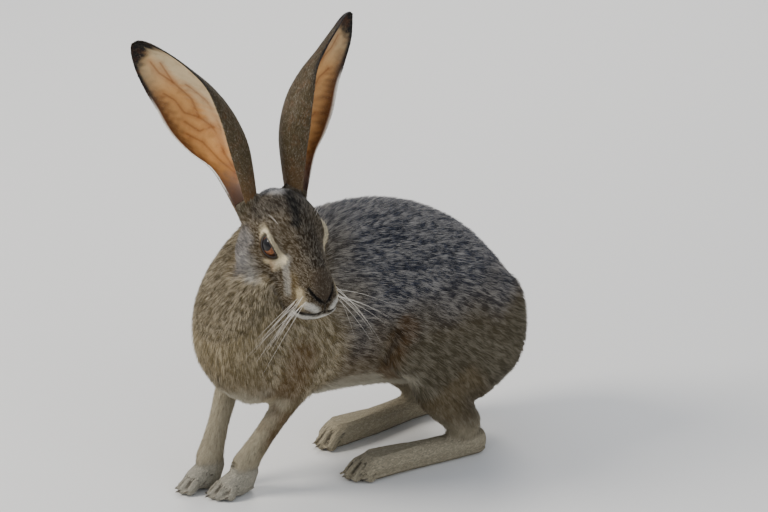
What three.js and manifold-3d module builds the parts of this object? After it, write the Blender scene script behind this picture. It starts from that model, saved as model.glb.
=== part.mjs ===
// A black-tailed jackrabbit, life size, low on its four feet with its head turned over its left side.
// Millimetres, +Z up. The trunk runs along Y with the chest towards -Y, and the animal's left side is +X.
import * as THREE from "three";
import { mergeVertices } from "three/addons/utils/BufferGeometryUtils.js";
import Module from "manifold-3d";

const wasm = await Module();
wasm.setup();

// Driving dimensions
const GAP = 0.3; // clearance between neighbouring parts
const BACK_HEIGHT = 201;
const TRUNK_LENGTH = 278; // chest to rump
const TRUNK_WIDTH = 102;
const HEAD_LENGTH = 96;
const EYE_SPAN = 50; // from one cornea to the other
const EYE_DIAMETER = 18;
const LID_THICKNESS = 1.4;
const EAR_LENGTH = 138;
const EAR_DIAMETER = 47; // of the cup, at its widest
const EAR_THICKNESS = 2.2; // gristle, skin and short coat
const TAIL_LENGTH = 70;
const CLAW_LENGTH = 5;

// Pose
const CHEST_Y = -105;
const HEAD_PLACE = [31, -45, 196]; // midway between the eyes
const HEAD_TURN = 85; // degrees to the left of straight ahead
const HEAD_DIP = 23; // degrees nose down
const HEAD_TILT = -3;
const FORELEGS_PART_X = -6; // the forelegs stand on either side of this plane
const LEFT = 1;
const RIGHT = -1;

const X = new THREE.Vector3(1, 0, 0);
const Y = new THREE.Vector3(0, 1, 0);
const Z = new THREE.Vector3(0, 0, 1);
const vec = (a) => new THREE.Vector3(...a);
const between = (a, b, share) => a.map((v, i) => v + (b[i] - v) * share);

// Turns a geometry into a solid that can be joined and cut.
function solidOf(geometry) {
  const bare = geometry.clone();
  for (const name of Object.keys(bare.attributes)) {
    if (name !== "position") bare.deleteAttribute(name);
  }
  const merged = mergeVertices(bare, 1e-3);
  return new wasm.Manifold(
    new wasm.Mesh({
      numProp: 3,
      vertProperties: new Float32Array(merged.attributes.position.array),
      triVerts: new Uint32Array(merged.index.array),
    }),
  );
}

// The solid's largest closed body, as a geometry.
function geometryOf(solid) {
  const bodies = solid.decompose().sort((a, b) => b.volume() - a.volume());
  const mesh = bodies[0].getMesh();
  return new THREE.BufferGeometry()
    .setAttribute("position", new THREE.BufferAttribute(mesh.vertProperties, 3))
    .setIndex(new THREE.BufferAttribute(mesh.triVerts, 1));
}

// Rounded oval rings set along a smooth line, closed by a dome at each end.
// A ring is { at, side, up, down }: its centre, half width, and reach above and below that centre.
// It stands square to the line, or along its own dorsal direction where it has one.
// pear makes every ring broader below than above, by that share.
function loft(rings, options) {
  const { around = 16, steps = 3, caps = [0.7, 0.7], dorsal = Z, square = 2, pear = 0, capRows = 3 } = options;
  const line = new THREE.CatmullRomCurve3(rings.map((r) => vec(r.at)));
  const sizes = new THREE.CatmullRomCurve3(rings.map((r) => new THREE.Vector3(r.side, r.up, r.down ?? r.up)));
  const leaning = rings[0].dorsal && new THREE.CatmullRomCurve3(rings.map((r) => r.dorsal));
  const tubeRows = (rings.length - 1) * steps;
  const rows = tubeRows + 2 * capRows;
  const shape = new THREE.SphereGeometry(1, around, rows);
  const place = shape.attributes.position;
  const round = 2 / square;
  for (let row = 0; row <= rows; row++) {
    const t = THREE.MathUtils.clamp((row - capRows) / tubeRows, 0, 1);
    const inStart = Math.max(0, (capRows - row) / capRows);
    const inEnd = Math.max(0, (row - capRows - tubeRows) / capRows);
    const bend = ((inStart + inEnd) * Math.PI) / 2;
    const size = sizes.getPoint(t);
    const radius = (size.x + size.y + size.z) / 3;
    const reach = Math.sin(bend) * radius * (inEnd > 0 ? caps[1] : -caps[0]);
    const along = line.getTangent(t);
    const upright = () => dorsal.clone().addScaledVector(along, -dorsal.dot(along));
    const up = (leaning ? leaning.getPoint(t) : upright()).normalize();
    const side = leaning ? X : new THREE.Vector3().crossVectors(up, along);
    const centre = line.getPoint(t).addScaledVector(along, reach);
    for (let column = 0; column <= around; column++) {
      const angle = (column / around) * 2 * Math.PI;
      const across = -Math.sign(Math.cos(angle)) * Math.abs(Math.cos(angle)) ** round;
      const rise = Math.sign(Math.sin(angle)) * Math.abs(Math.sin(angle)) ** round;
      const point = centre
        .clone()
        .addScaledVector(side, across * (1 - pear * rise) * size.x * Math.cos(bend))
        .addScaledVector(up, rise * (rise > 0 ? size.y : size.z) * Math.cos(bend));
      place.setXYZ(row * (around + 1) + column, point.x, point.y, point.z);
    }
  }
  return shape;
}

// A ring of a profile: its top and bottom points as [y, z], its half width and where its middle lies.
const profileRing = (top, bottom, side, middle, x = 0) => {
  const at = between([x, ...bottom], [x, ...top], middle);
  const reach = Math.hypot(top[0] - bottom[0], top[1] - bottom[1]);
  const dorsal = new THREE.Vector3(0, top[0] - bottom[0], top[1] - bottom[1]).normalize();
  return { at, side, up: reach * (1 - middle), down: reach * middle, dorsal };
};

// Soft pushes on a surface: each stroke moves what lies within its reach of a point.
function sculpt(geometry, strokes) {
  const place = geometry.attributes.position;
  const point = new THREE.Vector3();
  for (let i = 0; i < place.count; i++) {
    point.fromBufferAttribute(place, i);
    const moved = point.clone();
    for (const { at, reach, by } of strokes) {
      const share = Math.exp(-point.distanceToSquared(vec(at)) / (reach * reach));
      moved.addScaledVector(vec(by), share);
    }
    place.setXYZ(i, moved.x, moved.y, moved.z);
  }
  return geometry;
}

// The same surface moved outwards, for cutting a neighbour clear of it.
function grown(geometry, by = GAP) {
  const bare = geometry.clone();
  bare.deleteAttribute("normal");
  bare.deleteAttribute("uv");
  const merged = mergeVertices(bare, 1e-3);
  merged.computeVertexNormals();
  const place = merged.attributes.position;
  const normal = merged.attributes.normal;
  for (let i = 0; i < place.count; i++) {
    place.setXYZ(
      i,
      place.getX(i) + normal.getX(i) * by,
      place.getY(i) + normal.getY(i) * by,
      place.getZ(i) + normal.getZ(i) * by,
    );
  }
  return merged;
}

const joined = (geometries) => geometries.map(solidOf).reduce((a, b) => a.add(b));
const without = (solid, geometries) => geometries.reduce((left, g) => left.subtract(solidOf(g)), solid);
const clearOf = (solid, geometries) => without(solid, geometries.map((g) => grown(g)));
const sided = (rings, sign) => rings.map((r) => ({ ...r, at: [r.at[0] * sign, r.at[1], r.at[2]] }));

// Coat colours, from the photograph
const material = (color, roughness) => new THREE.MeshStandardMaterial({ color, roughness, metalness: 0 });
const saddle = material(0x6f675c, 0.9);
const flank = material(0x85765e, 0.9);
const limb = material(0xa3947a, 0.9);
const earSkin = material(0xb58a63, 0.8);
const darkTail = material(0x2b2723, 0.9);
const eyeAmber = material(0x5a3216, 0.1);

const hare = new THREE.Group();
function addPart(name, solid, finish) {
  const mesh = new THREE.Mesh(geometryOf(solid), finish);
  mesh.name = name;
  hare.add(mesh);
}

// Trunk and neck: one arched barrel from the rump to the nape. A row gives its point on the back and
// its point on the belly, each as hundredths of the trunk's length and of the back's height,
// then its breadth as a share of the trunk's, and how far it stands to the left.
const trunkPoint = ([along, height]) => [CHEST_Y + (along / 100) * TRUNK_LENGTH, (height / 100) * BACK_HEIGHT];
const trunkRow = (back, belly, breadth, x = 0) =>
  profileRing(trunkPoint(back), trunkPoint(belly), (breadth * TRUNK_WIDTH) / 2, 0.48, x);
const trunk = loft(
  [
    trunkRow([98.2, 51], [97.5, 35], 0.36),
    trunkRow([94.2, 63], [94.6, 28], 0.64),
    trunkRow([88.1, 73], [88.1, 23.5], 0.85),
    trunkRow([78.4, 86], [78.4, 22.4], 0.97),
    trunkRow([68, 94], [68.7, 24], 1),
    trunkRow([55.8, 99], [57.2, 27.4], 0.98),
    trunkRow([43.5, 100], [45.7, 29.9], 0.95),
    trunkRow([32.7, 98.5], [34.2, 31.1], 0.93),
    trunkRow([27.7, 98], [21.2, 31.8], 0.91),
    trunkRow([27, 99], [9, 36], 0.89),
    trunkRow([27, 101], [1.4, 49], 0.86),
    trunkRow([27.5, 103], [1, 64], 0.76),
    trunkRow([28, 104.5], [7, 79], 0.58, 1),
    trunkRow([29, 105.5], [15, 89], 0.38, 7),
  ],
  { around: 26, steps: 2, caps: [0.3, 0.3], square: 2.15 },
);

// Hind legs: thigh and shank folded beside the trunk, the long foot flat on the ground.
const HIND = {
  [LEFT]: { hip: [36, 138, 92], knee: [46, 37, 100], hock: [40, 99, 22], heel: [40, 108], ball: [35, 18], toe: -3 },
  [RIGHT]: { hip: [36, 138, 92], knee: [46, 48, 98], hock: [41, 117, 22], heel: [42, 127], ball: [31, 32], toe: 12 },
};
const FOOT_TOP = 19;
const shankTop = (sign) => {
  const { knee } = HIND[sign];
  return [knee[0] - 2, knee[1] + 16, knee[2] - 18];
};
const thighOf = (sign) => {
  const { hip, knee } = HIND[sign];
  return loft(
    sided(
      [
        { at: hip, side: 19, up: 42, down: 42 },
        { at: between(hip, knee, 0.25), side: 22, up: 56, down: 55 },
        { at: between(hip, knee, 0.5), side: 21, up: 56, down: 47 },
        { at: between(hip, knee, 0.77), side: 17, up: 44, down: 34 },
        { at: knee, side: 12, up: 28, down: 24 },
      ],
      sign,
    ),
    { around: 16, steps: 2, caps: [0.45, 0.6], square: 1.8 },
  );
};
const shankOf = (sign) => {
  const { hock } = HIND[sign];
  const top = shankTop(sign);
  return loft(
    sided(
      [
        { at: top, side: 11, up: 17, down: 14 },
        { at: between(top, hock, 0.45), side: 12.5, up: 20, down: 19 },
        { at: between(top, hock, 0.8), side: 11.5, up: 16, down: 14 },
        { at: hock, side: 11, up: 15, down: 14 },
      ],
      sign,
    ),
    { around: 14, steps: 2, caps: [0.3, 0.6], dorsal: Y },
  );
};

// A row of toes, each a short finger that droops to the ground, and the claw at its tip.
const toesOf = (sign, { root, tips, radius }) =>
  tips.flatMap(([x, y]) => {
    const start = [between(root, [x, y, 0], 0.6)[0], root[1], root[2]];
    const tip = [x, y + radius, radius * 0.8];
    const knuckle = between(start, tip, 0.55);
    knuckle[2] += radius * 0.35;
    const finger = [
      { at: start, side: radius, up: radius },
      { at: knuckle, side: radius, up: radius },
      { at: tip, side: radius * 0.82, up: radius * 0.8 },
    ];
    return [
      loft(sided(finger, sign), { around: 7, steps: 1, caps: [0.6, 0.9], capRows: 2 }),
      new THREE.ConeGeometry(1.7, CLAW_LENGTH, 5, 1)
        .rotateX(Math.PI + 0.45)
        .translate(sign * x, y - CLAW_LENGTH * 0.1, radius * 0.8),
    ];
  });
const hindFootOf = (sign) => {
  const { heel, ball, toe } = HIND[sign];
  const sole = [
    { at: [heel[0], heel[1], 10], side: 10.5, up: 12, down: 11 },
    { at: [heel[0] - 1, heel[1] - 22, 9], side: 10.5, up: 10, down: 10 },
    { at: [ball[0] + 2, ball[1] + 34, 9], side: 10.5, up: 11, down: 10 },
    { at: [ball[0], ball[1] + 4, 9], side: 13, up: 13.5, down: 10 },
    { at: [ball[0] - 0.5, ball[1] - 8, 7], side: 12, up: 6, down: 8 },
  ];
  const tips = [-10.4, -3.6, 3.3, 10].map((x, i) => [ball[0] - 1 + x, toe + [3, -1, 1, 9][i]]);
  return [
    loft(sided(sole, sign), { around: 12, steps: 2, caps: [0.8, 0.5], square: 2.2 }),
    ...toesOf(sign, { root: [ball[0], ball[1] + 1, 13], tips, radius: 4.9 }),
  ];
};

// Forelegs
const FORE = {
  [LEFT]: { shoulder: [30, -54, 132], elbow: [30, -36, 90], wrist: [7, -74, 22], paw: [4.5, -87] },
  [RIGHT]: { shoulder: [30, -58, 132], elbow: [30, -56, 90], wrist: [17, -88, 22], paw: [18, -100] },
};
const upperArmOf = (sign) => {
  const { shoulder, elbow } = FORE[sign];
  return loft(
    sided(
      [
        { at: shoulder, side: 15, up: 22, down: 20 },
        { at: between(shoulder, elbow, 0.55), side: 14.5, up: 20, down: 18 },
        { at: elbow, side: 11, up: 13, down: 13 },
      ],
      sign,
    ),
    { around: 14, steps: 2, dorsal: Y, square: 1.8 },
  );
};
const forearmOf = (sign) => {
  const { elbow, wrist } = FORE[sign];
  return loft(
    sided(
      [
        { at: elbow, side: 11, up: 13, down: 13 },
        { at: between(elbow, wrist, 0.3), side: 9, up: 10, down: 10 },
        { at: between(elbow, wrist, 0.65), side: 8, up: 8.5, down: 8.5 },
        { at: wrist, side: 9, up: 11.5, down: 11.5 },
      ],
      sign,
    ),
    { around: 12, steps: 2, caps: [0.6, 0.6], dorsal: Y },
  );
};
const forePawOf = (sign) => {
  const { wrist, paw } = FORE[sign];
  const palm = [
    { at: [wrist[0], wrist[1] + 1, wrist[2]], side: 9, up: 11.5, down: 11.5 },
    { at: [paw[0] + 1, paw[1] + 12, 11], side: 9.5, up: 13, down: 13 },
    { at: [paw[0] + 0.5, paw[1], 7], side: 10.5, up: 6, down: 9 },
  ];
  const tips = [-7, -1.6, 4, 9.4].map((x, i) => [paw[0] + x, paw[1] - [13, 16, 14, 7][i]]);
  return [
    loft(sided(palm, sign), { around: 12, steps: 2, caps: [0.5, 0.7], dorsal: Y }),
    ...toesOf(sign, { root: [paw[0], paw[1] + 4, 10], tips, radius: 4.4 }),
  ];
};

// Head, in its own frame: -Y to the nose, +X to its left, origin midway between the eyes.
const headFrame = new THREE.Matrix4().compose(
  vec(HEAD_PLACE),
  new THREE.Quaternion().setFromEuler(
    new THREE.Euler(
      THREE.MathUtils.degToRad(HEAD_DIP),
      THREE.MathUtils.degToRad(HEAD_TILT),
      THREE.MathUtils.degToRad(HEAD_TURN),
      "ZXY",
    ),
  ),
  new THREE.Vector3(1, 1, 1),
);
const inHead = (geometry) => geometry.applyMatrix4(headFrame);

// The skull's rows: top and bottom as [y, z] in hundredths of the head's length, then half width.
const headRow = (top, bottom, side) => {
  const unit = HEAD_LENGTH / 100;
  return profileRing(top.map((v) => v * unit), bottom.map((v) => v * unit), side * unit, 0.43);
};
const mirrored = (strokes) =>
  strokes.flatMap(({ at, reach, by }) =>
    [LEFT, RIGHT].map((s) => ({ at: [at[0] * s, at[1], at[2]], reach, by: [by[0] * s, by[1], by[2]] })),
  );
const skull = inHead(
  sculpt(
    loft(
      [
        headRow([40, 14], [35, -26], 22),
        headRow([28, 24], [27, -40], 30),
        headRow([13.5, 28], [13.5, -48], 32.5),
        headRow([-1, 26.5], [1, -50], 28.5),
        headRow([-13.5, 21], [-11.5, -49], 23),
        headRow([-26, 13.5], [-22, -47], 19.5),
        headRow([-37.5, 7], [-32, -44.5], 17.5),
        headRow([-46, 1.5], [-41, -42], 16),
        headRow([-52, -6], [-48.5, -38], 14),
        headRow([-54.5, -12], [-53, -32], 10.5),
      ],
      { around: 26, steps: 2, caps: [0.5, 0.35], square: 2.2, pear: 0.26 },
    ),
    mirrored([
      { at: [18, 0, 12], reach: 9, by: [2.5, 0, 1] },
      { at: [26, 14, -26], reach: 15, by: [2.5, 0, -1] },
      { at: [14, -44, -20], reach: 8, by: [1.2, -1, 0] },
    ]),
  ),
);

// Eyes, the lids round them, and the openings of the lids, nostrils, lips and mouth
const eyeCentre = (sign) => [sign * (EYE_SPAN / 2 - EYE_DIAMETER / 2), -2, 0];
const eyeBall = (sign, extra, across, down) =>
  inHead(new THREE.SphereGeometry(EYE_DIAMETER / 2 + extra, across, down).translate(...eyeCentre(sign)));
const lidOpening = (sign) =>
  inHead(
    new THREE.SphereGeometry(1, 14, 8)
      .scale(7, 9.2, 6)
      .translate(sign * 11, 0, 0)
      .rotateX(0.59)
      .rotateZ(-0.6 * sign)
      .rotateY(-0.17 * sign)
      .translate(...eyeCentre(sign)),
  );
const nostril = (sign) => {
  const outer = vec([sign * 9, -46.5, -5.5]);
  const inner = vec([sign * 3, -52.5, -13]);
  const slant = new THREE.Quaternion().setFromUnitVectors(Y, inner.clone().sub(outer).normalize());
  return inHead(
    new THREE.SphereGeometry(1, 8, 6)
      .scale(1.6, outer.distanceTo(inner) / 2, 1.6)
      .applyQuaternion(slant)
      .translate(...outer.add(inner).divideScalar(2)),
  );
};
const LINE_WIDTH = 1.2;
const LINE_DEPTH = 2.5;
const mouthSlit = new THREE.BoxGeometry(40, 30, LINE_WIDTH).rotateX(-0.4).translate(0, -54, -23);
const lipSlit = new THREE.BoxGeometry(LINE_WIDTH, 24, 12).translate(0, -56, -20);
const faceLines = joined([mouthSlit, lipSlit].map(inHead)).subtract(solidOf(grown(skull, -LINE_DEPTH)));

// Ears: a cupped blade, rolled nearly shut at the root. Its width and roll, and how far its middle
// sways forward and outward, go from root to tip.
const earCurve = (values) =>
  new THREE.CatmullRomCurve3(values.map((v, i) => new THREE.Vector3(i / (values.length - 1), v, 0)));
const EAR_WIDTH = earCurve([0.39, 0.54, 0.7, 0.91, 1.03, 1.05, 0.99, 0.86, 0.68]);
const EAR_ROLL = earCurve([2.6, 2.56, 2.45, 2.11, 1.82, 1.47, 1.21, 1.16, 1.2]);
const EAR_FORWARD = earCurve([-1.4, -5.5, -8.5, -7.8, -5.3, -0.6, 4.8, 4.7, -1.5]);
const EAR_OUTWARD = earCurve([0.4, -2.2, -3.8, -1.9, -0.2, 0.8, 2.4, 4.9, 9.5]);
const EAR_FLATNESS = 0.85;
const TIP_STARTS = 0.72; // where the blade begins to round off to its tip
const TIP_BLUNT = 2.1;
function ear({ root, axis, opening, lateral }) {
  const along = vec(axis).normalize();
  const front = vec(opening).addScaledVector(along, -vec(opening).dot(along)).normalize();
  const side = new THREE.Vector3().crossVectors(along, front).multiplyScalar(lateral);
  const blade = new THREE.BoxGeometry(2, 1, 1, 10, 14, 1);
  const place = blade.attributes.position;
  for (let i = 0; i < place.count; i++) {
    const t = Math.sin(((place.getY(i) + 0.5) * Math.PI) / 2);
    const across = place.getX(i);
    const beyond = Math.max(0, (t - TIP_STARTS) / (1 - TIP_STARTS));
    const tip = (1 - 0.985 * beyond ** TIP_BLUNT) ** (1 / TIP_BLUNT);
    const radius = (EAR_WIDTH.getPoint(t).y * EAR_DIAMETER * tip) / 2;
    const edge = 1 - 0.45 * across ** 4;
    const layer = radius - place.getZ(i) * EAR_THICKNESS * edge;
    const angle = across * EAR_ROLL.getPoint(t).y;
    const forward = EAR_FORWARD.getPoint(t).y;
    const outward = EAR_OUTWARD.getPoint(t).y;
    const point = vec(root)
      .addScaledVector(along, t * EAR_LENGTH)
      .addScaledVector(front, forward - EAR_FLATNESS * layer * Math.cos(angle))
      .addScaledVector(side, outward + layer * Math.sin(angle));
    place.setXYZ(i, point.x, point.y, point.z);
  }
  if (lateral < 0) {
    const index = blade.index;
    for (let i = 0; i < index.count; i += 3) index.setXYZ(i, index.getX(i), index.getZ(i), index.getY(i));
  }
  const foot = [-20, -8, 2].map((d, i) => {
    const at = vec(root).addScaledVector(along, d).addScaledVector(front, EAR_FORWARD.getPoint(0).y);
    return { at: at.toArray(), side: [11.5, 10.8, 9.9][i], up: [11, 9.8, 8.5][i] };
  });
  const base = loft(foot, { around: 14, steps: 2, caps: [0.7, 0.5], dorsal: front });
  return { blade: inHead(blade), base: inHead(base) };
}
const ears = {
  [LEFT]: ear({ root: [20, 36, 6], axis: [0.5, 0.57, 0.65], opening: [0.61, -0.78, 0.17], lateral: 1 }),
  [RIGHT]: ear({ root: [-21, 36, 6], axis: [-0.32, 0.73, 0.6], opening: [-0.86, -0.47, 0.18], lateral: -1 }),
};

// Tail, hanging close behind the rump
const tail = loft(
  [0, 0.33, 0.67, 1].map((t) => ({
    at: [0, 160 + 13 * Math.sin(t * 2.6) - 22 * t, 100 - t * TAIL_LENGTH],
    side: 12 - 4 * t,
    up: 10 - 2 * t,
  })),
  { around: 12, steps: 2, caps: [0.6, 0.9], dorsal: Y },
);

const sides = [LEFT, RIGHT];
const which = (sign) => (sign === LEFT ? "left" : "right");
const earPieces = sides.flatMap((sign) => [ears[sign].blade, ears[sign].base]);
const limbs = sides.flatMap((sign) => [
  thighOf(sign),
  shankOf(sign),
  ...hindFootOf(sign),
  upperArmOf(sign),
  forearmOf(sign),
  ...forePawOf(sign),
]);
const floor = new THREE.BoxGeometry(900, 900, 60).translate(0, 0, -30);

// The body is one form, then parted where a person names its parts. A zone gives the solid that takes
// a part off, a little larger when that solid clears the rest of it.
let flesh = without(clearOf(joined([trunk, skull, ...limbs]), earPieces), [floor]);
const boxZone = ({ at, size, turn = 0 }) => (extra) =>
  solidOf(new THREE.BoxGeometry(...size.map((s) => s + 2 * extra)).rotateX(turn).translate(...at));
const ovalZone = ({ at, size, turn = 0 }) => (extra) =>
  solidOf(
    new THREE.CylinderGeometry(1, 1, size[0] + 2 * extra, 28)
      .rotateZ(Math.PI / 2)
      .scale(1, size[1] / 2 + extra, size[2] / 2 + extra)
      .rotateX(turn)
      .translate(...at),
  );
const part = (zone) => {
  const piece = flesh.intersect(zone(0));
  flesh = flesh.subtract(zone(GAP));
  return piece;
};
const lineTurn = (low, high) => -Math.atan2(high[1] - low[1], high[2] - low[2]);
const ZONE_WIDTH = 60;

const lids = sides.map((sign) => solidOf(eyeBall(sign, LID_THICKNESS, 16, 10)));
const openings = sides.flatMap((sign) => [eyeBall(sign, GAP, 12, 8), lidOpening(sign), nostril(sign)]);
const face = lids.reduce((a, b) => a.add(b), part((extra) => solidOf(grown(skull, extra))));
addPart("head", without(face, openings).subtract(faceLines), saddle);
addPart("neck", part(boxZone({ at: [0, -103, 208], size: [160, 140, 120], turn: 0.693 })), flank);

for (const sign of sides) {
  const { hip, knee, hock, heel } = HIND[sign];
  const { shoulder, elbow, wrist, paw } = FORE[sign];
  const foreX = FORELEGS_PART_X + sign * (ZONE_WIDTH / 2 + GAP / 2);
  const hindX = sign * (ZONE_WIDTH / 2 + 10);
  const thighMiddle = between(hip, knee, 0.47);
  const armMiddle = between(shoulder, elbow, 0.4);
  const shankMiddle = between(hock, shankTop(sign), 0.22);
  const forearmMiddle = between(wrist, elbow, 0.4);
  const zones = {
    fore_paw: boxZone({ at: [foreX, paw[1] + 6, wrist[2] / 2 - 2], size: [ZONE_WIDTH, 66, wrist[2] + 4] }),
    forearm: boxZone({
      at: [foreX, forearmMiddle[1], forearmMiddle[2]],
      size: [ZONE_WIDTH, 44, 64],
      turn: lineTurn(wrist, elbow),
    }),
    upper_arm: ovalZone({
      at: [sign * 46, armMiddle[1], armMiddle[2]],
      size: [ZONE_WIDTH, 58, 88],
      turn: lineTurn(elbow, shoulder),
    }),
    hind_foot: boxZone({ at: [hindX, heel[1] - 55, FOOT_TOP / 2 - 2], size: [ZONE_WIDTH, 180, FOOT_TOP + 4] }),
    shank: boxZone({
      at: [hindX, shankMiddle[1], shankMiddle[2]],
      size: [ZONE_WIDTH, 54, 76],
      turn: lineTurn(hock, shankTop(sign)),
    }),
    thigh: ovalZone({ at: [sign * 46, thighMiddle[1], thighMiddle[2] - 1], size: [ZONE_WIDTH, 152, 126] }),
  };
  for (const [name, zone] of Object.entries(zones)) {
    addPart(`${name}_${which(sign)}`, part(zone), name === "thigh" || name === "upper_arm" ? flank : limb);
  }
}
addPart("torso", flesh, saddle);
addPart("tail", clearOf(solidOf(tail), [trunk, thighOf(LEFT), thighOf(RIGHT)]), darkTail);
for (const sign of sides) {
  const { blade, base } = ears[sign];
  addPart(`ear_${which(sign)}`, joined([blade, base]), earSkin);
  addPart(`eye_${which(sign)}`, solidOf(eyeBall(sign, 0, 12, 8)), eyeAmber);
}

// The origin is the middle of the footprint, on the ground.
const extent = new THREE.Box3().setFromObject(hare);
const middle = extent.getCenter(new THREE.Vector3());
hare.position.set(-middle.x, -middle.y, -extent.min.z);

export default hare;
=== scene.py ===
"""A life-size museum model of a black-tailed jackrabbit, in the order in which it is put together:
the camera, the skin over the form with its markings, the eyes and their lids, the ears, the claws,
the coat in tufts, the whiskers, and the plain floor and lights that it is shown with."""
import math

import bmesh
import bpy
import numpy as np
from mathutils import Matrix, Vector
from mathutils.bvhtree import BVHTree
from mathutils.kdtree import KDTree


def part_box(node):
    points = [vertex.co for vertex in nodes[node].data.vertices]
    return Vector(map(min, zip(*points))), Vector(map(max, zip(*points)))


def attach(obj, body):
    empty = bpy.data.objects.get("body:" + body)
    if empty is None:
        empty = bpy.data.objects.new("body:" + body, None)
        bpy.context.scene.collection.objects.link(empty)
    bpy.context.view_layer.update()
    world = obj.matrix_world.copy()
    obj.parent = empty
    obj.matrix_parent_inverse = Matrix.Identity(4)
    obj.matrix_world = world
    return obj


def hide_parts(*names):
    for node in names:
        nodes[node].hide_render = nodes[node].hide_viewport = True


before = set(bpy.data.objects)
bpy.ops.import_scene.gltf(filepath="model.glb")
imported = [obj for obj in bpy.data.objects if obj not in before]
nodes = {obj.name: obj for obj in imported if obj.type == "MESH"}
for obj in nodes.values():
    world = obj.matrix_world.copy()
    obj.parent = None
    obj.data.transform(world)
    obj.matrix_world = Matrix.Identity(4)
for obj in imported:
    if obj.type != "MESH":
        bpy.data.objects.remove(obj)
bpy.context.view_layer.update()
MM = 0.001


# The camera. It kneels before the animal's left shoulder, a little above its back, with a long
# lens, and is placed from the point midway between the eyes, which the picture shows left of its
# middle.
CAMERA_TURN = 55
CAMERA_LIFT = 20
EYES_IN_PICTURE = (295.1, 239.7)
PICTURE = (768, 512)
PIXEL_AT_EYES = 0.699 * MM
EYES_TO_CAMERA = 2.49
FILM_WIDTH = 36


def middle_of(node):
    low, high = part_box(node)
    return (Vector(low) + Vector(high)) / 2


def camera_axes(turn, lift):
    back = Vector((math.sin(turn) * math.cos(lift), -math.cos(turn) * math.cos(lift), math.sin(lift)))
    right = Vector((math.cos(turn), math.sin(turn), 0))
    return right, back.cross(right), back


between_eyes = (middle_of("eye_left") + middle_of("eye_right")) / 2
right, up, back = camera_axes(math.radians(CAMERA_TURN), math.radians(CAMERA_LIFT))
across = (PICTURE[0] / 2 - EYES_IN_PICTURE[0]) * PIXEL_AT_EYES
below = (PICTURE[1] / 2 - EYES_IN_PICTURE[1]) * PIXEL_AT_EYES
camera = bpy.data.objects.new("camera", bpy.data.cameras.new("camera"))
camera.data.sensor_width = FILM_WIDTH
camera.data.lens = FILM_WIDTH * EYES_TO_CAMERA / (PICTURE[0] * PIXEL_AT_EYES)
camera.data.clip_start = 0.1
camera.matrix_world = Matrix((right, up, back)).transposed().to_4x4()
camera.matrix_world.translation = between_eyes + right * across - up * below + back * EYES_TO_CAMERA
bpy.context.scene.collection.objects.link(camera)
bpy.context.scene.camera = camera


# The skin over the form: one closed hide round the body, head and legs, with the eye sockets,
# nostrils and mouth in it. It lies under the tips of the coat by the coat's depth, and it is drawn
# over the solids of the frame, whose gaps it closes.
HEAD_TURN = 85
HEAD_DIP = 23
HEAD_TILT = -3
HEAD_PLACE = (31, -45, 196)
EYES_FORWARD = 2 * MM
SKIN_GRAIN = 1.6 * MM
GAP_CLOSED = 0.3 * MM
EAR_ROOTS = {
    "left": {
        "root": (20, 36, 6), "axis": (0.5, 0.57, 0.65), "opening": (0.61, -0.78, 0.17), "sign": 1,
    },
    "right": {
        "root": (-21, 36, 6), "axis": (-0.32, 0.73, 0.6), "opening": (-0.86, -0.47, 0.18), "sign": -1,
    },
}
EAR_STUB = 4
SOCKET_BALL = 10.2 * MM
WELDED = 0.002 * MM
SOLE_HEIGHT = 0.2 * MM
FACE_BACK = 14
FACE_FRONT = -70
FACE_HALF_WIDTH = 34
FACE_MIDDLE = -10
FACE_HALF_HEIGHT = 50
FORE_TOES_END = 0
HIND_TOES_END = 25 * MM
SETTLING_ROUNDS = 9
NOSE_DEPTH = 0.7
CROWN_DEEPER = 1.6
COAT_DEPTH = {
    "head": 1.6, "neck": 4, "torso": 4.5, "thigh": 4, "upper_arm": 3, "forearm": 1.6, "fore_paw": 0.9,
    "shank": 2.2, "hind_foot": 1.1, "tail": 3, "ear": 1.4,
}
FEET = ("fore_paw", "hind_foot")

head_turn = (
    Matrix.Rotation(math.radians(HEAD_TURN), 3, "Z")
    @ Matrix.Rotation(math.radians(HEAD_DIP), 3, "X")
    @ Matrix.Rotation(math.radians(HEAD_TILT), 3, "Y")
)
head_origin = between_eyes + head_turn @ Vector((0, EYES_FORWARD, 0))
HEAD_AXES = np.array(head_turn)
HEAD_ORIGIN = np.array(head_origin)


def in_head(points):
    """Points of the model, as millimetres in the head's own frame: -Y to the nose, +X to its left."""
    return (points - HEAD_ORIGIN) @ HEAD_AXES / MM


def from_head(points):
    return np.asarray(points) @ HEAD_AXES.T * MM + HEAD_ORIGIN


def kind_of(node):
    return node.replace("_left", "").replace("_right", "")


def merged(name):
    """A solid as a bmesh, with its triangles joined and its faces moved out to close the gaps."""
    form = bmesh.new()
    form.from_mesh(nodes[name].data)
    bmesh.ops.remove_doubles(form, verts=form.verts, dist=WELDED)
    form.normal_update()
    for vert in form.verts:
        vert.co += vert.normal * GAP_CLOSED
    return form


def new_mesh(name, form):
    mesh = bpy.data.meshes.new(name)
    form.to_mesh(mesh)
    form.free()
    return mesh


def new_object(name, data):
    obj = bpy.data.objects.new(name, data)
    bpy.context.scene.collection.objects.link(obj)
    return obj


def finished_mesh(obj):
    """The object's mesh with its modifiers applied. The object is removed."""
    seen = obj.evaluated_get(bpy.context.evaluated_depsgraph_get())
    mesh = bpy.data.meshes.new_from_object(seen)
    bpy.data.objects.remove(obj)
    return mesh


def vectors_of(mesh, field="co"):
    flat = np.empty(len(mesh.vertices) * 3)
    mesh.vertices.foreach_get(field, flat)
    return flat.reshape(-1, 3)


def set_points(mesh, points):
    mesh.vertices.foreach_set("co", points.ravel())
    mesh.update()


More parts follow.
